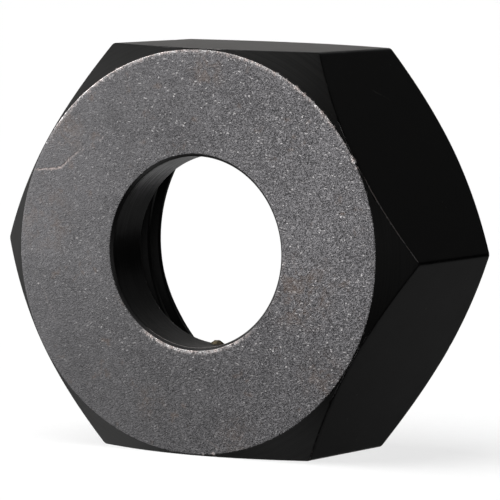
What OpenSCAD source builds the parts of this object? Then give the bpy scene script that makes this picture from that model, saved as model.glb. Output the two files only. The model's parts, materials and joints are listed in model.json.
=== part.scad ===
// Black-finished hexagon clamping nut, standing on one of its flats.
// The bore runs along Y. The plain clamping face looks towards -Y, and the
// threaded mouth opens towards +Y. +Z is up through the top flat, and two
// corners of the hexagon lie on X. The origin is at the centre of the body,
// on the bore axis.

/* [Hexagon] */
// Width across the flats, which is the wrench size
across_flats = 27; // [25:0.5:32]
// Length of the nut from face to face
nut_length = 14.5; // [12:0.1:20]
// How far each long corner edge is rounded back from the sharp hexagon
corner_break = 0.05; // [0.02:0.01:0.3]

/* [End chamfers] */
// Diameter of the flat circular land on the front face
front_land_d = 26.8; // [24:0.1:26.8]
// Diameter of the flat circular land on the rear face
rear_land_d = 26.9; // [24:0.1:26.9]
// Angle between each conical chamfer and the face that it starts from
chamfer_angle = 44; // [20:1:55]

/* [Front bore] */
// Diameter of the smooth hole through the front wall
bore_d = 12.7; // [8:0.1:14]
// Depth of the smooth hole, measured from the front face
bore_depth = 3.8; // [2:0.1:5]
// Size of the 45 degree edge break at the mouth of the hole
bore_break = 0.2; // [0.1:0.05:0.6]

/* [Inner seat] */
// Largest diameter of the conical seat behind the smooth hole
seat_d = 17; // [15:0.5:19]
// Angle between the conical seat and the bore axis
seat_angle = 45; // [40:1:75]

/* [Thread] */
// Nominal diameter of the internal thread
thread_d = 22; // [21:0.5:23]
// Pitch of the internal thread
thread_pitch = 1.5; // [1:0.25:2]
// Length of the plain register behind the shoulder, at the minor diameter
register_width = 0.9; // [0.6:0.1:1.6]
// Width of the relief groove between the register and the thread
relief_width = 1.2; // [0.8:0.1:1.6]
// Depth of the relief groove below the root of the thread
relief_clearance = 0.15; // [0.1:0.05:0.3]
// Where round the bore the thread begins
thread_angle = 45; // [0:15:345]
// Angle between the entry countersink and the bore axis
entry_angle = 60; // [45:1:70]
// How far the countersink opens past the nominal thread, on the radius
entry_overcut = 0.1; // [0.05:0.05:0.4]

/* [Hidden] */
round_fn = 128;   // sides of a full circle where a mesh is drawn
turn_steps = 48;  // stations in one turn of the thread

half_length = nut_length / 2;
corner_r = across_flats / 2 / cos(30);
edge_r = corner_r - corner_break;
front_drop = (edge_r - front_land_d / 2) * tan(chamfer_angle);
rear_drop = (edge_r - rear_land_d / 2) * tan(chamfer_angle);

// ISO metric 60 degree form: the flanks are cut between the minor and the
// major diameter, with a flat of P/4 left on the crest and P/8 at the root.
minor_r = thread_d / 2 - 0.54127 * thread_pitch;
major_r = thread_d / 2;
relief_r = major_r + relief_clearance;
seat_r = seat_d / 2;
shoulder_y = bore_depth + (seat_r - bore_d / 2) / tan(seat_angle);
relief_start = shoulder_y + register_width;
thread_start = relief_start + relief_width;
entry_r = major_r + entry_overcut;
entry_depth = (entry_r - minor_r) / tan(entry_angle);

// Children are drawn with z as the depth from the front face.
module from_front_face() {
    translate([0, -half_length, 0])
        rotate([-90, 0, 0])
            children();
}

// Hexagonal bar, with two of its corners on X.
module hexagon_bar() {
    cylinder(h = nut_length, r = corner_r, $fn = 6);
}

// Turned envelope that breaks the long corners and chamfers both ends.
module turned_envelope() {
    rotate_extrude($fn = round_fn)
        polygon([
            [0, 0],
            [front_land_d / 2, 0],
            [edge_r, front_drop],
            [edge_r, nut_length - rear_drop],
            [rear_land_d / 2, nut_length],
            [0, nut_length]
        ]);
}

// Everything turned out of the middle: the smooth hole and its edge break,
// the conical seat, the shoulder, the register, the relief groove, the
// thread's minor diameter and the countersink at the rear.
module bore_void() {
    rotate_extrude($fn = round_fn)
        polygon([
            [0, -1],
            [bore_d / 2 + bore_break + 1, -1],
            [bore_d / 2, bore_break],
            [bore_d / 2, bore_depth],
            [seat_r, shoulder_y],
            [minor_r, shoulder_y],
            [minor_r, relief_start],
            [relief_r, relief_start],
            [relief_r, thread_start],
            [minor_r, thread_start],
            [minor_r, nut_length - entry_depth],
            [minor_r + (entry_depth + 1) * tan(entry_angle), nut_length + 1],
            [0, nut_length + 1]
        ]);
}

// One station of the thread groove: its four corners, at angle a and depth d.
// The inner pair stands clear of the minor diameter by the slip.
slip = 0.12;
function groove_station(a, d) =
    let (
        half_root = thread_pitch / 16,
        half_mouth = half_root + (major_r - minor_r + slip) * tan(30)
    )
    [
        [(minor_r - slip) * cos(a), (minor_r - slip) * sin(a), d - half_mouth],
        [major_r * cos(a), major_r * sin(a), d - half_root],
        [major_r * cos(a), major_r * sin(a), d + half_root],
        [(minor_r - slip) * cos(a), (minor_r - slip) * sin(a), d + half_mouth]
    ];

// Right-hand helical groove. It starts inside the relief groove and runs out
// through the rear face, so neither end of it stops in solid metal.
module thread_groove() {
    first = thread_start - relief_width / 2;
    turns = (nut_length + thread_pitch - first) / thread_pitch;
    count = ceil(turns * turn_steps);
    stations = [for (i = [0:count])
        groove_station(thread_angle + 360 * i / turn_steps, first + thread_pitch * i / turn_steps)];
    points = [for (s = stations) for (p = s) p];
    sides = [for (i = [0:count - 1]) for (k = [0:3])
        let (
            a = 4 * i + k,
            b = 4 * i + (k + 1) % 4,
            c = 4 * (i + 1) + (k + 1) % 4,
            e = 4 * (i + 1) + k
        )
        each [[a, b, c], [a, c, e]]];
    caps = [[3, 2, 1, 0], [4 * count, 4 * count + 1, 4 * count + 2, 4 * count + 3]];
    polyhedron(points = points, faces = concat(sides, caps), convexity = 10);
}

// The whole nut is one turned and milled piece of steel.
module nut_body() {
    color([0.20, 0.20, 0.21])
        from_front_face()
            difference() {
                intersection() {
                    hexagon_bar();
                    turned_envelope();
                }
                bore_void();
                thread_groove();
            }
}

nut_body();
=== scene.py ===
import bpy, json, math
import numpy as np
from mathutils import Matrix, Vector


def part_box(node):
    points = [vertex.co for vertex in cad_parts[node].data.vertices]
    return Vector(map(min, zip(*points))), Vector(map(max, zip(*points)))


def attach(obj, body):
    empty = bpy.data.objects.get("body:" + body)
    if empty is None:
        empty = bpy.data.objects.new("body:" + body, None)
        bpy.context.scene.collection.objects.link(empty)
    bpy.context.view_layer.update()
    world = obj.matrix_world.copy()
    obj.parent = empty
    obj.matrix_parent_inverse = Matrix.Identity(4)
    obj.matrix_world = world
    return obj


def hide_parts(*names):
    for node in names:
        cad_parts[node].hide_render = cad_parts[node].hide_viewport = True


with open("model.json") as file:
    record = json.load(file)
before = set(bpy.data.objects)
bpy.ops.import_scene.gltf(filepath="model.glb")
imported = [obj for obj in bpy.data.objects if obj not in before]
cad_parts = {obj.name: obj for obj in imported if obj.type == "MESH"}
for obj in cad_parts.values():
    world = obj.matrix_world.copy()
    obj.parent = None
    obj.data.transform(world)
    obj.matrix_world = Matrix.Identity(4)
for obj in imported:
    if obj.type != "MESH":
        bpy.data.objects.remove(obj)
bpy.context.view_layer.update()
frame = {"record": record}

# ---------------------------------------------------------------- dimensions
# The box of the imported CAD gives the hexagon and the length, and the mounts in model.json give the two bores; the
# other sizes are given below. Lengths here are millimetres.
MM = 0.001
node_lo, node_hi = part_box("nut_body")
AF = (node_hi.z - node_lo.z) / MM            # across the flats
LEN = (node_hi.y - node_lo.y) / MM           # face to face
Y0 = node_lo.y / MM                          # the front face
mounts = {m["name"]: m for m in frame["record"]["mounts"]}
BORE_R = mounts["front_bore"]["dims"]["r_mm"]
BORE_LEN = mounts["front_bore"]["dims"]["length_mm"]
MINOR_R = mounts["thread"]["dims"]["r_mm"]
PITCH = 1.5
MAJOR_R = 11.0
RELIEF_R = 11.15
BREAK = 0.2                                  # edge break at the mouth of the front bore
LAND_F = 13.40                               # radius of the front land
LAND_R = 13.45                               # radius of the rear land
CHAMFER = math.tan(math.radians(44))
SEAT_R = 8.5
D_BORE = BREAK + BORE_LEN                    # depth of the smooth bore's end
D_SHOULDER = D_BORE + (SEAT_R - BORE_R)
D_RELIEF = D_SHOULDER + 0.9
D_THREAD = D_RELIEF + 1.2
ENTRY_R = 11.1
ENTRY_SLOPE = math.tan(math.radians(60))
D_ENTRY = LEN - (ENTRY_R - MINOR_R) / ENTRY_SLOPE
THREAD_PHASE = math.radians(45)
APOTHEM = AF / 2
CORNER_FILLET = 0.33                         # rounding of the six long edges


def hexagon_radius(phi):
    """Distance from the axis to the hexagon at angle phi, its corners rounded by CORNER_FILLET."""
    # angle from the nearest corner; corners lie at 0, 60, 120 ... degrees
    a = (phi + math.pi / 6) % (math.pi / 3) - math.pi / 6
    flat = APOTHEM / math.cos(math.pi / 6 - abs(a))
    centre = (APOTHEM - CORNER_FILLET) / math.cos(math.pi / 6)
    # the arc takes over between its two tangent points
    tangent = math.atan2(
        CORNER_FILLET * math.sin(math.pi / 6),
        centre + CORNER_FILLET * math.cos(math.pi / 6),
    )
    if abs(a) < tangent:
        s = centre * math.sin(a)
        return centre * math.cos(a) + math.sqrt(max(CORNER_FILLET**2 - s * s, 0.0))
    return flat


def fillet(before, corner, after, radius, steps):
    """Points of a rounded corner in a 2-D profile. The rounding shrinks where an edge is short."""
    b, c, a = map(np.array, (before, corner, after))
    u, v = b - c, a - c
    lu, lv = np.linalg.norm(u), np.linalg.norm(v)
    if lu < 1e-9 or lv < 1e-9:
        return [tuple(c)] * (steps + 1)
    u, v = u / lu, v / lv
    half = math.acos(max(-1.0, min(1.0, float(u @ v)))) / 2
    cut = min(radius / max(math.tan(half), 1e-6), 0.45 * lu, 0.45 * lv)
    p0, p2 = c + u * cut, c + v * cut
    out = []
    for i in range(steps + 1):
        t = i / steps
        w = 1 / (2 * math.sin(half) + 1e-9)  # keeps the curve close to a true arc
        k = 2 * t * (1 - t) * max(min(math.sin(half), 1.0), 0.05)
        den = (1 - t) ** 2 + k + t * t
        out.append(tuple(((1 - t) ** 2 * p0 + k * c + t * t * p2) / den))
    return out


def thread_radius(phi, d):
    """Radius of the tapped wall at angle phi and depth d: a right-hand 60 degree groove, its edges a little rounded."""
    first = D_THREAD - 0.6
    u = (d - first) / PITCH + (phi + THREAD_PHASE) / (2 * math.pi)
    off = abs(u - round(u)) * PITCH
    raw = MAJOR_R - (off - PITCH / 16) * math.sqrt(3)
    # smooth minimum and maximum round the root and the crest by a few hundredths
    k = 0.10
    h = max(k - abs(raw - MAJOR_R), 0.0) / k
    r = min(raw, MAJOR_R) - h * h * k / 4
    h = max(k - abs(r - MINOR_R), 0.0) / k
    r = max(r, MINOR_R) + h * h * k / 4
    cone = MINOR_R + (d - D_ENTRY) * ENTRY_SLOPE
    return max(r, cone, MINOR_R)


# -------------------------------------------------------- the nut as a mesh
# One closed skin, drawn as a ring of profiles round the bore. A profile runs
# from the seat along the smooth bore to the front land, over the chamfer, a
# flat and the rear chamfer to the rear land, and back in through the thread.
GROOVE_ROWS = [-0.5, -0.44, -0.40, -0.375, -0.35, -0.22, -0.14, -0.09, -0.0625,
               0.0, 0.0625, 0.09, 0.14, 0.22, 0.35, 0.375, 0.40, 0.44]


def straight(a, b, n, zone):
    """n rows strictly between a and b."""
    return [(a[0] + (b[0] - a[0]) * i / (n + 1), a[1] + (b[1] - a[1]) * i / (n + 1), zone, 0.0)
            for i in range(1, n + 1)]


def rounded(b, c, a, radius, steps, zone_b, zone_a):
    """A rounded edge between two zones. Its middle rows carry the wear."""
    pts = fillet(b, c, a, radius, steps)
    out = []
    for i, p in enumerate(pts):
        t = i / steps
        out.append((p[0], p[1], zone_b if t < 0.5 else zone_a, math.sin(math.pi * t)))
    return out


LAND, CHAM, FLAT, BORE, THREAD, REAR = range(6)


def profile(phi):
    rh = hexagon_radius(phi)
    df = max(0.0, (rh - LAND_F) * CHAMFER)
    dr = max(0.0, (rh - LAND_R) * CHAMFER)
    p0 = (BORE_R, D_BORE)
    p1 = (BORE_R, BREAK)
    p2 = (BORE_R + BREAK, 0.0)
    p3 = (LAND_F, 0.0)
    p4 = (rh, df)
    p5 = (rh, LEN - dr)
    p6 = (LAND_R, LEN)
    p7 = (ENTRY_R, LEN)
    p8 = (RELIEF_R, D_THREAD)
    p9 = (RELIEF_R, D_RELIEF)
    p10 = (MINOR_R, D_RELIEF)
    p11 = (MINOR_R, D_SHOULDER)
    p12 = (SEAT_R, D_SHOULDER)
    rows = []
    rows += rounded(p12, p0, p1, 0.12, 3, BORE, BORE)
    rows += straight(p0, p1, 14, BORE)
    rows += rounded(p0, p1, p2, 0.06, 3, BORE, BORE)
    rows += rounded(p1, p2, p3, 0.10, 4, BORE, LAND)
    rows += straight(p2, p3, 26, LAND)
    rows += rounded(p2, p3, p4, 0.16, 5, LAND, CHAM)
    rows += straight(p3, p4, 7, CHAM)
    rows += rounded(p3, p4, p5, 0.18, 5, CHAM, FLAT)
    rows += straight(p4, p5, 22, FLAT)
    rows += rounded(p4, p5, p6, 0.12, 5, FLAT, CHAM)
    rows += straight(p5, p6, 7, CHAM)
    rows += rounded(p5, p6, p7, 0.16, 5, CHAM, REAR)
    rows += straight(p6, p7, 12, REAR)
    rows.append((p7[0], p7[1], THREAD, 0.35))
    # the thread: rows follow the helix, and stop at the two ends of the wall
    first = D_THREAD - 0.6
    turn = (phi + THREAD_PHASE) / (2 * math.pi)
    k_hi = math.ceil((LEN - first) / PITCH) + 2
    k_lo = math.floor((D_THREAD - first) / PITCH) - 1
    last = None
    for k in range(k_hi, k_lo - 1, -1):
        for g in reversed(GROOVE_ROWS):
            d = first + (k + g - turn) * PITCH
            d = min(max(d, D_THREAD), LEN)
            r = thread_radius(phi, d)
            wear = 0.5 if abs(abs(g) - 0.40) < 0.06 else 0.0
            rows.append((r, d, THREAD, wear))
    rows.append((p8[0], p8[1], THREAD, 0.0))
    rows += straight(p8, p9, 2, THREAD)
    rows.append((p9[0], p9[1], THREAD, 0.0))
    rows += rounded(p9, p10, p11, 0.06, 2, THREAD, THREAD)
    rows.append((p11[0], p11[1], THREAD, 0.0))
    rows += rounded(p11, p12, p0, 0.10, 2, BORE, BORE)
    rows += straight(p12, p0, 5, BORE)
    return rows


def column_angles():
    """Angles round the bore, closer together at the six rounded corners. The end is the start again, one turn on."""
    out = set()
    for i in range(360):
        out.add(round(i * 1.0, 5))
    for c in range(6):
        for e in (-0.62, -0.5, -0.41, -0.33, -0.25, -0.17, -0.085, 0.0, 0.085, 0.17, 0.25, 0.33, 0.41, 0.5, 0.62):
            out.add(round((c * 60 + e) % 360, 5))
    return [math.radians(a) for a in sorted(out)] + [2 * math.pi]


# Small dents along the edges: angle in degrees, radius and depth of the spot
# from the axis and the front face, size, and how deep it goes.
DENTS = [
    (29.8, 13.40, 0.02, 0.24, 0.055), (31.2, 13.42, 0.04, 0.16, 0.030), (45.0, 13.40, 0.02, 0.13, 0.018),
    (52.0, 13.40, 0.02, 0.15, 0.022), (57.0, 13.40, 0.02, 0.13, 0.018), (64.0, 13.40, 0.02, 0.16, 0.022),
    (73.0, 13.40, 0.02, 0.14, 0.018), (88.0, 13.40, 0.02, 0.14, 0.016), (101.0, 13.40, 0.02, 0.13, 0.016),
    (118.0, 13.40, 0.02, 0.14, 0.018), (141.0, 13.40, 0.02, 0.14, 0.016), (-82.7, 13.30, 0.02, 0.20, 0.030),
    (-60.0, 13.40, 0.02, 0.13, 0.016), (201.0, 13.40, 0.02, 0.13, 0.016), (8.0, 13.40, 0.02, 0.12, 0.014),
    (40.0, 6.50, 0.03, 0.13, 0.014),
    (0.2, 15.52, 3.4, 0.30, 0.035), (0.0, 15.52, 9.1, 0.24, 0.030), (60.0, 15.52, 5.6, 0.22, 0.028),
    (120.0, 15.52, 10.3, 0.28, 0.034), (180.0, 15.52, 4.9, 0.30, 0.034), (240.0, 15.52, 8.8, 0.26, 0.030),
    (300.0, 15.52, 6.4, 0.26, 0.030), (76.0, 13.45, 14.48, 0.26, 0.030), (140.0, 13.45, 14.48, 0.22, 0.028),
    (212.0, 13.45, 14.48, 0.30, 0.034), (331.0, 13.45, 14.48, 0.24, 0.030), (18.0, 13.45, 14.48, 0.20, 0.024),
]


# Swarf: place across the bore, depth, half sizes, and height.
SWARF = [(0.10, 3.25, (0.46, 0.50, 0.46), 0.30), (-0.30, 3.40, (0.26, 0.34, 0.26), 0.16)]


def build_nut():
    angles = column_angles()
    columns = [profile(a) for a in angles]
    n_rows = len(columns[0])
    assert all(len(c) == n_rows for c in columns)
    data = np.array([[(r, d, z, w) for r, d, z, w in c] for c in columns])  # column, row, 4
    ang = np.array(angles)[:, None]
    r, d = data[..., 0], data[..., 1]
    # lengthways edges of the hexagon carry wear too
    to_corner = np.abs((ang + math.pi / 6) % (math.pi / 3) - math.pi / 6) * r
    on_flat = data[..., 2] == FLAT
    long_edge = np.clip(1 - to_corner / 0.16, 0, 1) * on_flat
    co = np.stack([r * np.cos(ang), Y0 + d, r * np.sin(ang)], axis=-1)
    inward = np.zeros_like(co)
    # dents push the surface towards the middle of the metal
    mid_r = 11.5
    core = np.stack([mid_r * np.cos(ang) + 0 * r, 0 * r, mid_r * np.sin(ang) + 0 * r], axis=-1)
    to_core = core - co
    to_core /= np.linalg.norm(to_core, axis=-1, keepdims=True)
    dent_mask = np.zeros_like(r)
    for deg, dr_, dd, size, deep in DENTS:
        a = math.radians(deg)
        spot = np.array([dr_ * math.cos(a), Y0 + dd, dr_ * math.sin(a)])
        dist = np.linalg.norm(co - spot, axis=-1)
        fall = np.clip(1 - (dist / size) ** 2, 0, 1) ** 2
        inward += to_core * (fall * deep)[..., None]
        dent_mask = np.maximum(dent_mask, fall)
    # a speck of swarf stands up from the floor of the smooth bore
    grime = np.zeros_like(r)
    for gx, gd, size, high in SWARF:
        gz = -math.sqrt(BORE_R**2 - gx * gx)
        dist = np.linalg.norm((co - np.array([gx, Y0 + gd, gz])) / np.array(size), axis=-1)
        fall = np.clip(1 - dist**2, 0, 1) ** 1.2
        inward += np.array([-gx, 0, -gz]) / BORE_R * (fall * high)[..., None]
        grime = np.maximum(grime, np.clip(fall * 4, 0, 1))
    co = (co + inward) * MM
    verts = co.reshape(-1, 3)
    n_cols = len(angles)
    faces = []
    for c in range(n_cols - 1):
        a0, b0 = c * n_rows, (c + 1) * n_rows
        for k in range(n_rows):
            k2 = (k + 1) % n_rows
            faces.append((a0 + k, a0 + k2, b0 + k2, b0 + k))
    mesh = bpy.data.meshes.new("hex_nut_mesh")
    mesh.from_pydata(verts.tolist(), [], faces)
    values = {
        "zone_land": data[..., 2] == LAND,
        "zone_cham": data[..., 2] == CHAM,
        "zone_flat": data[..., 2] == FLAT,
        "zone_bore": data[..., 2] == BORE,
        "zone_thread": data[..., 2] == THREAD,
        "zone_rear": data[..., 2] == REAR,
        "grime": grime,
        "wear": np.maximum(np.maximum(data[..., 3], long_edge), np.clip(dent_mask * 1.2, 0, 1)),
    }
    for name, v in values.items():
        at = mesh.attributes.new(name, "FLOAT", "POINT")
        at.data.foreach_set("value", np.ascontiguousarray(v, dtype=np.float32).ravel())
    import bmesh
    bm = bmesh.new()
    bm.from_mesh(mesh)
    bmesh.ops.remove_doubles(bm, verts=bm.verts, dist=6e-8)
    bmesh.ops.dissolve_degenerate(bm, dist=4e-8, edges=bm.edges)
    bmesh.ops.recalc_face_normals(bm, faces=bm.faces)
    bm.to_mesh(mesh)
    open_edges = sum(1 for e in bm.edges if len(e.link_faces) != 2)
    vol = bm.calc_volume()
    bm.free()
    mesh.update()
    zone_of = {LAND: 0, CHAM: 1, FLAT: 1, BORE: 2, THREAD: 2, REAR: 3}
    zones = np.zeros((6, len(mesh.vertices)), dtype=np.float32)
    for i, name in enumerate(("land", "cham", "flat", "bore", "thread", "rear")):
        mesh.attributes["zone_" + name].data.foreach_get("value", zones[i])
    zones = zones.argmax(axis=0)
    for p in mesh.polygons:
        p.use_smooth = True
        here = [zone_of[int(zones[v])] for v in p.vertices]
        p.material_index = max(set(here), key=here.count)
    print("nut skin:", len(mesh.vertices), "points,", len(mesh.polygons), "faces,", open_edges, "open edges,", round(vol * 1e9, 1), "mm3")
    obj = bpy.data.objects.new("nut_skin", mesh)
    bpy.context.scene.collection.objects.link(obj)
    wn = obj.modifiers.new("even_shading", "WEIGHTED_NORMAL")
    wn.mode = "FACE_AREA"
    wn.weight = 50
    wn.keep_sharp = False
    return obj


nut = build_nut()


# ------------------------------------------------------------------- camera
# A long lens to the right of the bore axis and a little above it.
AZ, EL, ROLL = 0.4972, 0.0803, 0.0232
F_PX, DIST = 5427.53, 27.0488
back = Vector((math.sin(AZ) * math.cos(EL), -math.cos(AZ) * math.cos(EL), math.sin(EL)))
forward = -back
right = forward.cross(Vector((0, 0, 1))).normalized()
up = right.cross(forward)
r2 = math.cos(ROLL) * right + math.sin(ROLL) * up
u2 = -math.sin(ROLL) * right + math.cos(ROLL) * up
off_x = (247.6706 - 250) / F_PX * DIST
off_y = -(245.966 - 250) / F_PX * DIST
centre = Vector((0, (node_lo.y + node_hi.y) / 2, 0))
unit = APOTHEM * MM
cam_data = bpy.data.cameras.new("camera")
cam_data.sensor_width = 36
cam_data.lens = F_PX * 36 / 500
cam_data.clip_start, cam_data.clip_end = 0.01, 50
cam = bpy.data.objects.new("camera", cam_data)
bpy.context.scene.collection.objects.link(cam)
cam.matrix_world = Matrix((
    (r2.x, u2.x, back.x, 0), (r2.y, u2.y, back.y, 0), (r2.z, u2.z, back.z, 0), (0, 0, 0, 1)))
cam.location = centre - (r2 * off_x + u2 * off_y + forward * DIST) * unit
bpy.context.scene.camera = cam


# ----------------------------------------------------------------- material
class Graph:
    """A short way to write shader nodes. Numbers and sockets may both be given as inputs."""

    def __init__(self, tree):
        self.t = tree
        tree.nodes.clear()

    def node(self, kind, inputs=(), **props):
        n = self.t.nodes.new(kind)
        for k, v in props.items():
            setattr(n, k, v)
        items = inputs.items() if isinstance(inputs, dict) else enumerate(inputs)
        for k, v in items:
            if v is None:
                continue
            if isinstance(v, bpy.types.NodeSocket):
                self.t.links.new(v, n.inputs[k])
            else:
                n.inputs[k].default_value = v
        return n

    def math(self, op, *a, clamp=False):
        return self.node("ShaderNodeMath", a, operation=op, use_clamp=clamp).outputs[0]

    def vmath(self, op, *a):
        n = self.node("ShaderNodeVectorMath", a, operation=op)
        return n.outputs["Value"] if op in ("LENGTH", "DISTANCE", "DOT_PRODUCT") else n.outputs["Vector"]

    def scaled(self, v, s):
        return self.vmath("MULTIPLY", v, s if isinstance(s, tuple) else (s, s, s))

    def scaled_by(self, v, s):
        return self.vmath("MULTIPLY", v, self.combine(s, s, s))

    def combine(self, x, y, z):
        return self.node("ShaderNodeCombineXYZ", (x, y, z)).outputs[0]

    def ramp(self, v, lo, hi, a=0.0, b=1.0, smooth=True):
        n = self.node("ShaderNodeMapRange", {"Value": v, "From Min": lo, "From Max": hi, "To Min": a, "To Max": b},
                      interpolation_type="SMOOTHSTEP" if smooth else "LINEAR", clamp=True)
        return n.outputs["Result"]

    def noise(self, v, scale, detail=2.0, rough=0.5, distort=0.0):
        n = self.node("ShaderNodeTexNoise", {"Vector": v, "Scale": scale, "Detail": detail,
                                             "Roughness": rough, "Distortion": distort})
        return n.outputs["Fac"]

    def mix(self, fac, a, b):
        """Mixes two colours."""
        n = self.t.nodes.new("ShaderNodeMix")
        n.data_type = "RGBA"
        n.clamp_factor = True
        for k, v in ((0, fac), (6, a), (7, b)):
            if isinstance(v, bpy.types.NodeSocket):
                self.t.links.new(v, n.inputs[k])
            else:
                n.inputs[k].default_value = (*v, 1.0) if isinstance(v, tuple) and len(v) == 3 else v
        return n.outputs[2]

    def blend(self, fac, a, b):
        """Mixes two numbers."""
        n = self.t.nodes.new("ShaderNodeMix")
        n.data_type = "FLOAT"
        n.clamp_factor = True
        for k, v in ((0, fac), (2, a), (3, b)):
            if isinstance(v, bpy.types.NodeSocket):
                self.t.links.new(v, n.inputs[k])
            else:
                n.inputs[k].default_value = v
        return n.outputs[0]

    def attr(self, name):
        return self.node("ShaderNodeAttribute", attribute_name=name, attribute_type="GEOMETRY").outputs["Fac"]

    def total(self, *a):
        out = a[0]
        for b in a[1:]:
            out = self.math("ADD", out, b)
        return out

    def product(self, *a):
        out = a[0]
        for b in a[1:]:
            out = self.math("MULTIPLY", out, b)
        return out

    def top(self, *a):
        out = a[0]
        for b in a[1:]:
            out = self.math("MAXIMUM", out, b)
        return out

    def scratch(self, p, a, b, width, strength=1.0):
        """A line from a to b in millimetres, softened over its width."""
        a, b = Vector(a), Vector(b)
        d = b - a
        rel = self.vmath("SUBTRACT", p, tuple(a))
        t = self.math("DIVIDE", self.vmath("DOT_PRODUCT", rel, tuple(d)), d.length_squared, clamp=True)
        near = self.vmath("SUBTRACT", rel, self.vmath("MULTIPLY", self.combine(t, t, t), tuple(d)))
        dist = self.vmath("LENGTH", near)
        return self.ramp(dist, width * 0.35, width, strength, 0.0)

    def spot(self, p, c, size, strength=1.0):
        return self.ramp(self.vmath("DISTANCE", p, c), size * 0.25, size, strength, 0.0)


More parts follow.
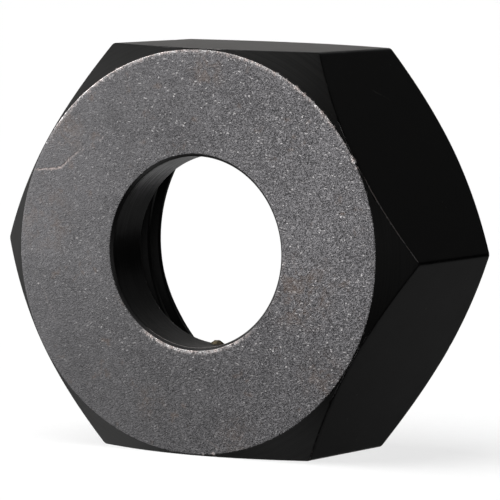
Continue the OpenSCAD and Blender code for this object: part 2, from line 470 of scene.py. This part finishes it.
def steel(kind):
    """Black oxide steel, one material for each finish: "face" is the blasted front, "black" the hexagon and its
    chamfers, "hole" the smooth bore, seat and thread, and "back" the turned rear face."""
    mat = bpy.data.materials.new("black_oxide_" + kind)
    mat.use_nodes = True
    g = Graph(mat.node_tree)
    pos = g.node("ShaderNodeTexCoord").outputs["Object"]
    p = g.scaled(pos, 1000.0)                       # millimetres
    sep = g.node("ShaderNodeSeparateXYZ", (p,)).outputs
    x, y, z = sep[0], sep[1], sep[2]
    rad = g.vmath("LENGTH", g.combine(x, 0.0, z))
    ang = g.math("ARCTAN2", z, x)
    wear = g.attr("wear")
    chip = g.math("SUBTRACT", g.noise(p, 3.4, 4.0, 0.65), 0.5)
    patchy = g.math("SUBTRACT", g.noise(p, 0.55, 3.0, 0.6), 0.5)
    # where the rims are worn most, by angle round the bore: bare-steel wear plus a painted highlight along the top of
    # the outer rim and the bottom of the bore mouth, which face the light from above
    ring_top_wear_and_highlight = g.product(g.ramp(ang, 0.35, 0.85), g.ramp(ang, 2.75, 2.30))
    mouth_low_wear_and_highlight = g.product(g.ramp(ang, -2.35, -2.02), g.ramp(ang, -0.70, -1.15))

    # bare-steel wear; the angle masks passed in add a painted highlight
    def rubbed_and_highlit(amount):
        a = g.total(wear, g.product(chip, 1.5), g.product(patchy, 1.3), amount)
        return g.product(g.ramp(a, 0.72, 1.25), g.ramp(wear, 0.15, 0.6))

    def nicks():
        q = wobbled(0.12)
        return g.top(*(g.spot(q, (LAND_F * math.cos(math.radians(a)), Y0 + 0.04, LAND_F * math.sin(math.radians(a))), r, k)
                       for a, r, k in NICKS))

    # bare steel, also used for the painted highlights on the rims
    def bright_steel_and_highlight():
        return g.mix(g.ramp(g.noise(p, 2.2, 2.0), 0.4, 0.6), (0.70, 0.60, 0.57), (0.80, 0.77, 0.765))

    def wobbled(amount):
        n = g.node("ShaderNodeTexNoise", {"Vector": p, "Scale": 1.3, "Detail": 3.0}).outputs["Color"]
        m = g.node("ShaderNodeTexNoise", {"Vector": p, "Scale": 5.0, "Detail": 1.0}).outputs["Color"]
        n = g.vmath("ADD", g.vmath("SUBTRACT", n, (0.5, 0.5, 0.5)), g.scaled(g.vmath("SUBTRACT", m, (0.5, 0.5, 0.5)), 0.4))
        return g.vmath("ADD", p, g.scaled(n, amount))

    if kind in ("face", "back"):
        # grain of a blasted face: short, slightly wavy flecks about 0.15 mm long
        warp = g.node("ShaderNodeTexNoise", {"Vector": p, "Scale": 1.7, "Detail": 2.0, "Roughness": 0.5}).outputs["Color"]
        warped = g.vmath("ADD", p, g.scaled(g.vmath("SUBTRACT", warp, (0.5, 0.5, 0.5)), 0.55))
        tilted = g.node("ShaderNodeMapping", {"Vector": warped, "Rotation": (0.0, math.radians(-12), 0.0),
                                              "Scale": (0.66, 1.0, 1.60)}).outputs["Vector"]
        fleck = g.noise(tilted, 7.6, 2.0, 0.60)

    if kind == "face":
        fine = g.noise(g.vmath("MULTIPLY", p, (0.8, 1.0, 1.2)), 17.0, 1.0, 0.6)
        blotch = g.math("SUBTRACT", g.noise(p, 0.75, 4.0, 0.6), 0.5)
        broad = g.math("SUBTRACT", g.noise(p, 0.16, 3.0, 0.55), 0.5)
        glint_side = g.ramp(x, -13.0, 11.0)               # painted light: grain contrast and glints are painted strongest towards +X, where the light catches the face; relief is deeper there too
        light = g.product(g.total(g.ramp(fleck, 0.28, 0.74), g.product(g.ramp(fine, 0.30, 0.70), 1.25)), 0.444)
        tone = g.total(0.5, g.product(g.math("SUBTRACT", light, 0.5), g.blend(glint_side, CONTRAST[0], CONTRAST[1])),
                       g.product(blotch, 0.55), g.product(broad, 0.60))
        col = g.mix(g.ramp(tone, -0.15, 1.25, smooth=False), LAND_DARK, LAND_LIGHT)
        # painted light and shade: the grey is darkened towards the bottom and painted lighter towards +X and at the far
        # -X edge
        painted_light_falloff = g.product(g.blend(g.ramp(z, -9.0, -0.5), 0.71, 1.0), g.blend(g.ramp(x, -4.0, 10.5), 0.97, 1.54),
                         g.blend(g.ramp(x, -12.0, -6.0), 1.08, 1.0))
        col = g.scaled_by(col, painted_light_falloff)
        # painted glints: bright points, strongest towards +X and weaker low down; and dark pits, real dents with
        # painted shade in them, also strongest towards +X
        glint_cells = g.node("ShaderNodeTexVoronoi", {"Vector": tilted, "Scale": 5.2, "Randomness": 1.0}, feature="F1")
        cell = g.node("ShaderNodeSeparateColor", (glint_cells.outputs["Color"],)).outputs
        near = g.ramp(glint_cells.outputs["Distance"], 0.14, 0.43, 1.0, 0.0)
        painted_glint = g.product(near, g.ramp(cell[0], 0.55, 0.92), g.blend(glint_side, 0.30, 1.7), g.blend(g.ramp(z, -11.0, -4.5), 0.30, 1.0))
        pit_and_shade = g.product(near, g.ramp(cell[1], 0.62, 0.92), g.blend(glint_side, 0.30, 1.2))
        col = g.mix(g.math("MINIMUM", g.product(painted_glint, 0.9), 1.0), col, (0.62, 0.60, 0.60))
        col = g.mix(g.product(pit_and_shade, 0.60), col, (0.030, 0.028, 0.030))
        # faint rust, in loose patches and a few specks
        rust = g.top(*(g.spot(p, (a, Y0, b), r, k) for a, b, r, k in RUST))
        rust = g.product(rust, g.ramp(g.noise(p, 1.3, 4.0, 0.7, 0.6), 0.42, 0.66))
        rust = g.top(rust, g.product(g.ramp(g.noise(p, 0.9, 3.0, 0.6), 0.62, 0.74), 0.5))
        col = g.mix(g.product(rust, 0.55), col, (0.20, 0.125, 0.080))
        # handling scratches, dark gouges and light specks
        q = wobbled(0.30)
        marks = g.top(*(g.scratch(q, (a, Y0, b), (c, Y0, d), w, k) for a, b, c, d, w, k in SCRATCHES))
        marks = g.product(marks, g.total(0.35, g.product(g.ramp(g.noise(p, 3.2, 3.0, 0.7), 0.36, 0.60), 0.65)))
        gouges = g.top(*(g.scratch(q, (a, Y0, b), (c, Y0, d), w, k) for a, b, c, d, w, k in GOUGES))
        dots = g.top(*(g.spot(p, (a, Y0, b), r, k) for a, b, r, k in SPECKS))
        col = g.mix(g.product(marks, 0.95), col, (0.46, 0.39, 0.37))
        col = g.mix(g.product(gouges, 0.7), col, (0.025, 0.023, 0.023))
        col = g.mix(dots, col, (0.52, 0.49, 0.48))
        # worn rims with a painted highlight along the top of the outer rim and the bottom of the bore mouth, and loose
        # bright flecks that spill from them on to the face
        inner = g.ramp(rad, 10.0, 9.5)
        edge = rubbed_and_highlit(g.blend(inner, g.math("MULTIPLY_ADD", ring_top_wear_and_highlight, 0.80, -0.42), g.math("MULTIPLY_ADD", mouth_low_wear_and_highlight, 1.45, -0.75)))
        spill = g.top(g.product(g.ramp(g.math("ABSOLUTE", g.math("SUBTRACT", rad, BORE_R + 0.30)), 0.03, 0.24, 1.0, 0.0), mouth_low_wear_and_highlight, 0.75),
                      g.product(g.ramp(rad, LAND_F - 0.34, LAND_F - 0.10), ring_top_wear_and_highlight, 0.65))
        spill = g.product(spill, g.ramp(g.noise(p, 5.5, 2.0, 0.6, 0.4), 0.46, 0.62))
        rim = g.top(g.product(g.ramp(rad, LAND_F - 0.17, LAND_F - 0.10), ring_top_wear_and_highlight, g.blend(g.ramp(ang, 2.2, 1.5), 0.45, 1.0)),
                    g.product(g.ramp(rad, BORE_R + 0.42, BORE_R + 0.32), mouth_low_wear_and_highlight))
        rim = g.product(rim, g.ramp(g.noise(p, 3.4, 4.0, 0.75), 0.40, 0.56))
        spill = g.top(spill, rim)
        edge = g.math("MINIMUM", g.top(edge, g.product(spill, 0.9), nicks()), 1.0)
        col = g.mix(g.product(edge, 0.82), col, bright_steel_and_highlight())
        rough = g.total(0.54, g.product(g.math("SUBTRACT", fleck, 0.5), 0.12))
        metal = g.product(g.top(g.product(edge, 0.6), g.product(marks, 0.4), g.product(painted_glint, 0.6)), 0.5)
        height = g.total(g.product(fleck, g.blend(glint_side, RELIEF[0], RELIEF[1])), g.product(fine, g.blend(glint_side, RELIEF[0] * 0.3, RELIEF[1] * 0.3)),
                         g.product(pit_and_shade, -0.02), g.product(marks, -0.03), g.product(gouges, -0.04))

    if kind == "black":
        cham = g.attr("zone_cham")
        cloud = g.noise(p, 0.55, 5.0, 0.6)
        col_flat = g.mix(g.ramp(cloud, 0.3, 0.7), FLAT_DARK, FLAT_LIGHT)
        turned = g.noise(g.combine(g.math("MULTIPLY", rad, 9.0), g.math("MULTIPLY", ang, 1.2), g.math("MULTIPLY", y, 9.0)), 1.0, 3.0, 0.6)
        col = g.mix(cham, col_flat, g.mix(g.ramp(turned, 0.3, 0.7), CHAM_DARK, CHAM_LIGHT))
        q = wobbled(0.30)
        scuffs = g.top(*(g.scratch(q, a, b, w, k) for a, b, w, k in SCUFFS))
        scuffs = g.product(scuffs, g.total(0.3, g.product(g.ramp(g.noise(p, 3.2, 3.0, 0.7), 0.36, 0.60), 0.7)))
        dust = g.node("ShaderNodeTexVoronoi", {"Vector": p, "Scale": 0.95, "Randomness": 1.0}, feature="F1")
        dust_cell = g.node("ShaderNodeSeparateColor", (dust.outputs["Color"],)).outputs
        dust = g.product(g.ramp(dust.outputs["Distance"], 0.035, 0.085, 1.0, 0.0), g.ramp(dust_cell[0], 0.72, 0.80), 0.35)
        col = g.mix(scuffs, col, (0.24, 0.22, 0.20))
        col = g.mix(dust, col, (0.22, 0.21, 0.20))
        # the corner arcs of the chamfer: bare-steel wear, painted brightest as a highlight at the +X corner and more
        # faintly at the corner 60 degrees below it, where they catch the light
        ring = g.product(g.ramp(g.math("SUBTRACT", rad, LAND_F), 0.14, 0.24, 1.0, 0.0), g.ramp(y, Y0 + 0.10, Y0 + 0.25, 1.0, 0.0))
        arc = g.product(g.ramp(y, Y0 + 0.10, Y0 + 0.25), g.ramp(y, Y0 + 2.6, Y0 + 2.2))
        arc_up_wear_and_highlight = g.product(arc, g.ramp(ang, -0.02, 0.02), g.ramp(ang, 0.60, 0.46))
        arc_low_wear_and_highlight = g.product(arc, g.ramp(ang, -1.12, -1.0), g.ramp(ang, -0.60, -0.80))
        edge = rubbed_and_highlit(g.total(-0.48, g.product(ring, ring_top_wear_and_highlight, 0.80), g.product(arc_up_wear_and_highlight, 0.85), g.product(arc_low_wear_and_highlight, 0.40)))
        edge = g.math("MINIMUM", g.top(edge, nicks()), 1.0)
        col = g.mix(g.product(edge, g.blend(arc, 0.82, 0.95)), col, bright_steel_and_highlight())
        rough = g.total(g.blend(cham, FLAT_ROUGH, CHAM_ROUGH), g.product(g.math("SUBTRACT", cloud, 0.5), 0.07))
        metal = g.product(edge, g.blend(arc, 0.35, 0.2))
        drawn = g.noise(g.vmath("MULTIPLY", p, (5.0, 0.35, 5.0)), 1.6, 3.0, 0.6)    # the bar's own lines, along the flats
        height = g.total(g.product(drawn, g.math("SUBTRACT", 1.0, cham), 0.0035), g.product(g.noise(p, 9.0, 2.0, 0.5), 0.0022),
                         g.product(turned, cham, 0.004), g.product(scuffs, -0.015), g.product(dust, 0.03))

    if kind == "hole":
        thread, grime = g.attr("zone_thread"), g.attr("grime")
        cloud = g.noise(p, 0.55, 5.0, 0.6)
        lines = g.noise(g.combine(g.math("MULTIPLY", ang, 1.6), g.math("MULTIPLY", y, 7.0), 0.0), 1.0, 4.0, 0.65)
        col = g.mix(g.ramp(lines, 0.34, 0.68), BORE_DARK, BORE_LIGHT)
        # burnished streaks on the upper-left wall of the bore, with painted light where that wall catches the light
        burnish_and_painted_light = g.product(g.ramp(ang, 1.45, 1.95), g.ramp(ang, 2.75, 2.35), g.ramp(lines, 0.32, 0.66),
                         g.ramp(rad, BORE_R + 0.12, BORE_R + 0.02), g.ramp(y, Y0 + 0.35, Y0 + 0.7))
        col = g.mix(burnish_and_painted_light, col, (0.33, 0.32, 0.335))
        col = g.mix(thread, col, g.mix(g.ramp(cloud, 0.35, 0.7), (0.015, 0.015, 0.015), (0.038, 0.037, 0.036)))
        # the lower mouth of the bore: worn bare, with a painted highlight where it faces the light from above
        mouth = g.ramp(y, Y0 + 0.30, Y0 + 0.45, 1.0, 0.0)
        edge = g.product(rubbed_and_highlit(g.total(-0.62, g.product(mouth, mouth_low_wear_and_highlight, 1.25))), g.ramp(y, LEN + Y0 - 0.02, LEN + Y0 - 0.3, 0.35, 1.0))
        col = g.mix(g.product(edge, 0.82), col, bright_steel_and_highlight())
        sand = g.noise(p, 7.0, 2.0, 0.6)
        col = g.mix(grime, col, g.mix(g.ramp(sand, 0.4, 0.6), (0.085, 0.068, 0.038), (0.26, 0.21, 0.13)))
        rough = g.total(g.blend(thread, g.blend(g.product(g.ramp(ang, -2.7, -1.9), g.ramp(ang, 0.9, 0.3)), BORE_ROUGH, 0.60), 0.36), g.product(g.math("SUBTRACT", cloud, 0.5), 0.14), g.product(grime, 0.45))
        metal = g.product(g.top(g.product(edge, 0.4), g.product(burnish_and_painted_light, 0.45)), 0.85, g.math("SUBTRACT", 1.0, grime))
        height = g.total(g.product(lines, g.math("SUBTRACT", 1.0, thread), 0.014), g.product(sand, thread, 0.008), g.product(sand, grime, 0.05))

    if kind == "back":
        rings = g.noise(g.combine(g.math("MULTIPLY", rad, 11.0), g.math("MULTIPLY", ang, 1.1), 0.0), 1.0, 3.0, 0.6)
        col = g.mix(g.ramp(g.total(g.product(rings, 0.6), g.product(fleck, 0.4)), 0.34, 0.68), (0.100, 0.096, 0.100), (0.260, 0.250, 0.259))
        track = g.ramp(g.math("ABSOLUTE", g.math("SUBTRACT", rad, 12.3)), 0.1, 0.8, 1.0, 0.0)
        col = g.mix(g.product(track, g.ramp(patchy, -0.10, 0.15), 0.35), col, (0.24, 0.22, 0.215))
        # worn rim, a little more along the top: bare-steel wear with a faint painted highlight
        edge = rubbed_and_highlit(g.product(ring_top_wear_and_highlight, 0.1))
        col = g.mix(g.product(edge, 0.8), col, bright_steel_and_highlight())
        rough = g.total(0.52, g.product(g.math("SUBTRACT", fleck, 0.5), 0.14))
        metal = g.product(edge, 0.85)
        height = g.total(g.product(rings, 0.012), g.product(fleck, 0.006))

    # rubbed steel is smoother, and its rims are a little uneven
    rough = g.math("MULTIPLY", rough, g.math("MULTIPLY_ADD", edge, -0.45, 1.0))
    height = g.total(height, g.product(chip, g.ramp(wear, 0.1, 0.7), 0.018))
    bump = g.node("ShaderNodeBump", {"Height": height, "Strength": 1.0, "Distance": 0.001})
    bsdf = g.node("ShaderNodeBsdfPrincipled", {"Base Color": col, "Roughness": rough, "Metallic": metal, "Normal": bump.outputs[0]})
    bsdf.inputs["IOR"].default_value = 1.5
    bsdf.inputs["Specular IOR Level"].default_value = SPEC
    g.node("ShaderNodeOutputMaterial", (bsdf.outputs[0],))
    return mat


# Places on the front face, x and z in millimetres: rust (x, z, radius, strength),
RUST = [(7.9, -2.2, 3.3, 0.75), (0.5, 12.0, 1.8, 0.6), (9.6, -7.6, 2.2, 0.55), (-11.5, 1.5, 3.0, 0.45), (-10.2, 7.4, 2.4, 0.45),
        (3.4, -11.9, 2.0, 0.4), (10.6, 4.1, 0.50, 1.3), (10.9, 3.3, 0.32, 1.3), (11.54, 5.54, 0.22, 1.5), (7.2, 8.0, 0.25, 1.2),
        (-3.1, -10.2, 1.6, 0.4)]
# scratches and gouges (x, z to x, z, half width, strength),
SCRATCHES = [(-12.9, 4.72, -12.2, 4.84, 0.085, 0.45), (-12.2, 4.84, -11.2, 4.98, 0.095, 0.80), (-11.2, 4.98, -10.4, 5.10, 0.115, 1.0),
             (-10.4, 5.10, -9.75, 5.75, 0.095, 0.70), (-9.75, 5.75, -9.1, 6.15, 0.090, 0.55), (-9.1, 6.15, -7.5, 7.20, 0.07, 0.25),
             (-7.5, 7.05, -7.1, 7.40, 0.08, 0.50), (1.2, -12.4, 2.3, -13.0, 0.07, 0.25), (-4.4, -9.6, -2.0, -10.3, 0.05, 0.18),
             (-11.6, -3.1, -10.6, -5.4, 0.06, 0.22)]
GOUGES = [(7.55, 6.65, 8.05, 6.30, 0.06, 0.9), (8.05, 5.90, 8.35, 5.50, 0.06, 0.8), (6.75, 4.75, 7.20, 4.35, 0.05, 0.7),
          (9.0, 4.40, 9.45, 3.90, 0.06, 0.8), (7.1, 9.0, 7.5, 8.8, 0.05, 0.7), (9.9, -3.3, 10.2, -3.9, 0.05, 0.6)]
# and specks (x, z, radius, strength).
SPECKS = [(-9.07, 0.43, 0.09, 0.8), (-12.0, -2.8, 0.09, 0.9), (-6.9, 7.6, 0.08, 0.6), (7.5, -1.55, 0.11, 0.9), (7.85, -1.0, 0.08, 1.0),
          (6.6, -3.0, 0.08, 0.8), (7.3, -0.55, 0.07, 0.8), (7.1, -1.9, 0.07, 0.8), (-11.3, 6.4, 0.07, 0.5), (4.3, -7.0, 0.07, 0.6)]
# Nicks of bare steel on the rim of the front face: angle, radius, strength.
NICKS = [(29.8, 0.26, 1.5), (31.0, 0.16, 1.3), (27.6, 0.12, 0.9), (35.0, 0.10, 0.8), (41.0, 0.11, 0.8), (46.5, 0.13, 1.0), (50.5, 0.12, 1.0),
         (54.0, 0.14, 1.1), (57.5, 0.11, 1.0), (61.0, 0.13, 1.1), (64.5, 0.11, 0.9), (70.0, 0.10, 0.9), (79.0, 0.09, 0.8),
         (-82.7, 0.18, 0.9), (-86.0, 0.12, 0.7), (150.0, 0.10, 0.7)]
# Scuffs on the black surfaces: end points, half width, strength.
SCUFFS = [
    ((9.30, -0.25, 10.87), (9.47, 0.70, 10.57), 0.07, 0.34), ((9.47, 0.70, 10.57), (9.70, 1.60, 10.18), 0.06, 0.28),
    ((6.9, -6.15, -11.9), (7.6, -6.0, -11.4), 0.06, 0.40), ((-9.4, 1.2, 10.7), (-11.2, 4.1, 7.6), 0.05, 0.30),
    ((-12.8, -2.2, 4.9), (-14.1, 1.9, 2.6), 0.05, 0.25), ((-3.4, -2.0, 13.5), (1.2, 1.1, 13.5), 0.05, 0.22),
    ((4.9, 3.5, 13.5), (2.6, 4.9, 13.5), 0.05, 0.25), ((13.6, 2.4, -3.2), (12.4, 0.6, -5.3), 0.05, 0.22),
    ((-10.9, 2.0, -8.2), (-12.6, -1.5, -5.2), 0.05, 0.25),
]
LAND_DARK, LAND_LIGHT = (0.033, 0.0318, 0.0345), (0.247, 0.239, 0.250)
FLAT_DARK, FLAT_LIGHT = (0.0075, 0.0074, 0.0072), (0.0130, 0.0127, 0.0122)
CHAM_DARK, CHAM_LIGHT = (0.0105, 0.0103, 0.0100), (0.0190, 0.0185, 0.0180)
BORE_DARK, BORE_LIGHT = (0.0120, 0.0118, 0.0118), (0.0420, 0.0410, 0.0410)
FLAT_ROUGH, CHAM_ROUGH, BORE_ROUGH = 0.42, 0.46, 0.36
CONTRAST = (0.95, 3.1)                     # of the grain, at -X and at +X; the higher +X value paints in glints and shade
RELIEF = (0.045, 0.110)
SPEC = 0.45

for kind in ("face", "black", "hole", "back"):
    nut.data.materials.append(steel(kind))
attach(nut, "root")
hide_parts("nut_body")


FLOOR_SUN = (0.9, 2.75)
WORLD = 0.0
# name, direction from the nut, distance, size, watts
SOFTBOXES = [
    ("key_left", (-0.75, -0.65, 0.25), 0.25, (0.14, 0.14), 0.735),
    ("top_front", (-0.15, -0.65, 0.75), 0.10, (0.06, 0.06), 0.010),
    ("right_front", (0.60, -0.78, 0.25), 0.10, (0.05, 0.05), 0.0015),
    ("left_side", (-0.90, 0.35, -0.05), 0.25, (0.12, 0.20), 0.016),
    ("left_low", (-0.70, 0.10, -0.65), 0.25, (0.12, 0.12), 0.032),
    ("overhead", (0.10, -0.30, 0.95), 0.30, (0.15, 0.15), 0.002),
    ("below", (0.05, -0.30, -0.95), 0.30, (0.15, 0.15), 0.047),
    ("right", (0.86, -0.50, 0.0), 0.35, (0.20, 0.20), 0.025),
    ("behind_low", (-0.58, 0.80, 0.16), 0.13, (0.10, 0.04), 0.0116, (1.0, 0.965, 0.935)),
    ("behind_under", (-0.45, 0.876, -0.24), 0.30, (0.10, 0.08), 0.015),
    ("behind_up", (-0.09, 0.876, 0.48), 0.30, (0.10, 0.10), 0.0070),
    ("under_right", (0.26, 0.876, -0.36), 0.11, (0.04, 0.04), 0.00075),
    ("under_back", (-0.20, 0.876, -0.46), 0.30, (0.08, 0.06), 0.010),
    ("under_far", (0.26, 0.876, -0.40), 0.45, (0.20, 0.20), 0.0032),
    ("rear_high", (-0.30, 0.55, 0.78), 0.35, (0.20, 0.20), 0.14),
    ("behind_right", (0.307, 0.876, 0.372), 0.45, (0.20, 0.20), 0.0068),
]


# ----------------------------------------------------------- floor and light
scene = bpy.context.scene
FLOOR_Z = node_lo.z


def make_floor():
    """A flat pale floor that turns up into a backdrop all round, far outside the view."""
    import bmesh
    bm = bmesh.new()
    rings = [(0.0, 0.0), (0.4, 0.0), (1.5, 0.0), (3.0, 0.0), (3.3, 0.03), (3.6, 0.15), (3.85, 0.4), (4.0, 0.8), (4.0, 3.0)]
    n = 96
    grid = []
    for r, h in rings:
        if r == 0:
            grid.append([bm.verts.new((0, 0, FLOOR_Z))])
        else:
            grid.append([bm.verts.new((r * math.cos(2 * math.pi * i / n), r * math.sin(2 * math.pi * i / n), FLOOR_Z + h)) for i in range(n)])
    for i in range(n):
        bm.faces.new((grid[0][0], grid[1][i], grid[1][(i + 1) % n]))
    for a, b in zip(grid[1:], grid[2:]):
        for i in range(n):
            j = (i + 1) % n
            bm.faces.new((a[i], b[i], b[j], a[j]))
    bmesh.ops.recalc_face_normals(bm, faces=bm.faces)
    mesh = bpy.data.meshes.new("floor")
    bm.to_mesh(mesh)
    bm.free()
    for p in mesh.polygons:
        p.use_smooth = True
    floor = bpy.data.objects.new("floor", mesh)
    scene.collection.objects.link(floor)
    mat = bpy.data.materials.new("floor_paper")
    mat.use_nodes = True
    g = Graph(mat.node_tree)
    pos = g.node("ShaderNodeTexCoord").outputs["Object"]
    tint = g.mix(g.noise(pos, 900.0, 3.0, 0.6), (0.90, 0.90, 0.90), (0.93, 0.93, 0.93))
    bsdf = g.node("ShaderNodeBsdfPrincipled", {"Base Color": tint})
    bsdf.inputs["Roughness"].default_value = 0.9
    bsdf.inputs["Specular IOR Level"].default_value = 0.1
    g.node("ShaderNodeOutputMaterial", (bsdf.outputs[0],))
    mesh.materials.append(mat)
    # the black steel mirrors a dark room, so the white paper isn't seen in it
    floor.visible_glossy = False
    floor.visible_diffuse = False
    floor.visible_shadow = False
    return floor


floor = make_floor()
only_floor = bpy.data.collections.new("lit_floor")
only_floor.objects.link(floor)
only_nut = bpy.data.collections.new("lit_nut")
only_nut.objects.link(nut)


def sun(name, direction, strength, spread, shadow):
    data = bpy.data.lights.new(name, "SUN")
    data.energy = strength
    data.angle = math.radians(spread)
    data.use_shadow = shadow
    obj = bpy.data.objects.new(name, data)
    scene.collection.objects.link(obj)
    obj.rotation_mode = "QUATERNION"
    obj.rotation_quaternion = Vector(direction).to_track_quat("Z", "Y")
    obj.light_linking.receiver_collection = only_floor
    return obj


def softbox(name, direction, distance, size, watts, tint=(1, 1, 1)):
    data = bpy.data.lights.new(name, "AREA")
    data.shape = "RECTANGLE"
    data.size, data.size_y = size
    data.energy = watts
    data.color = tint
    obj = bpy.data.objects.new(name, data)
    scene.collection.objects.link(obj)
    d = Vector(direction).normalized()
    obj.location = centre + d * distance
    obj.rotation_mode = "QUATERNION"
    obj.rotation_quaternion = d.to_track_quat("Z", "Y")
    obj.light_linking.receiver_collection = only_nut
    obj.visible_camera = False
    return obj


sun("floor_light", (-0.25, -0.35, 1.0), FLOOR_SUN[0], 50, True)
sun("floor_fill", (0.0, 0.0, 1.0), FLOOR_SUN[1], 10, False)
for spec in SOFTBOXES:
    softbox(*spec)

world = bpy.data.worlds.new("studio")
scene.world = world
world.use_nodes = True
bg = world.node_tree.nodes["Background"]
bg.inputs[0].default_value = (1.0, 1.0, 1.0, 1.0)
bg.inputs[1].default_value = WORLD

scene.view_settings.view_transform = "Standard"
scene.view_settings.look = "None"
scene.view_settings.exposure = 0.0
scene.view_settings.gamma = 1.0
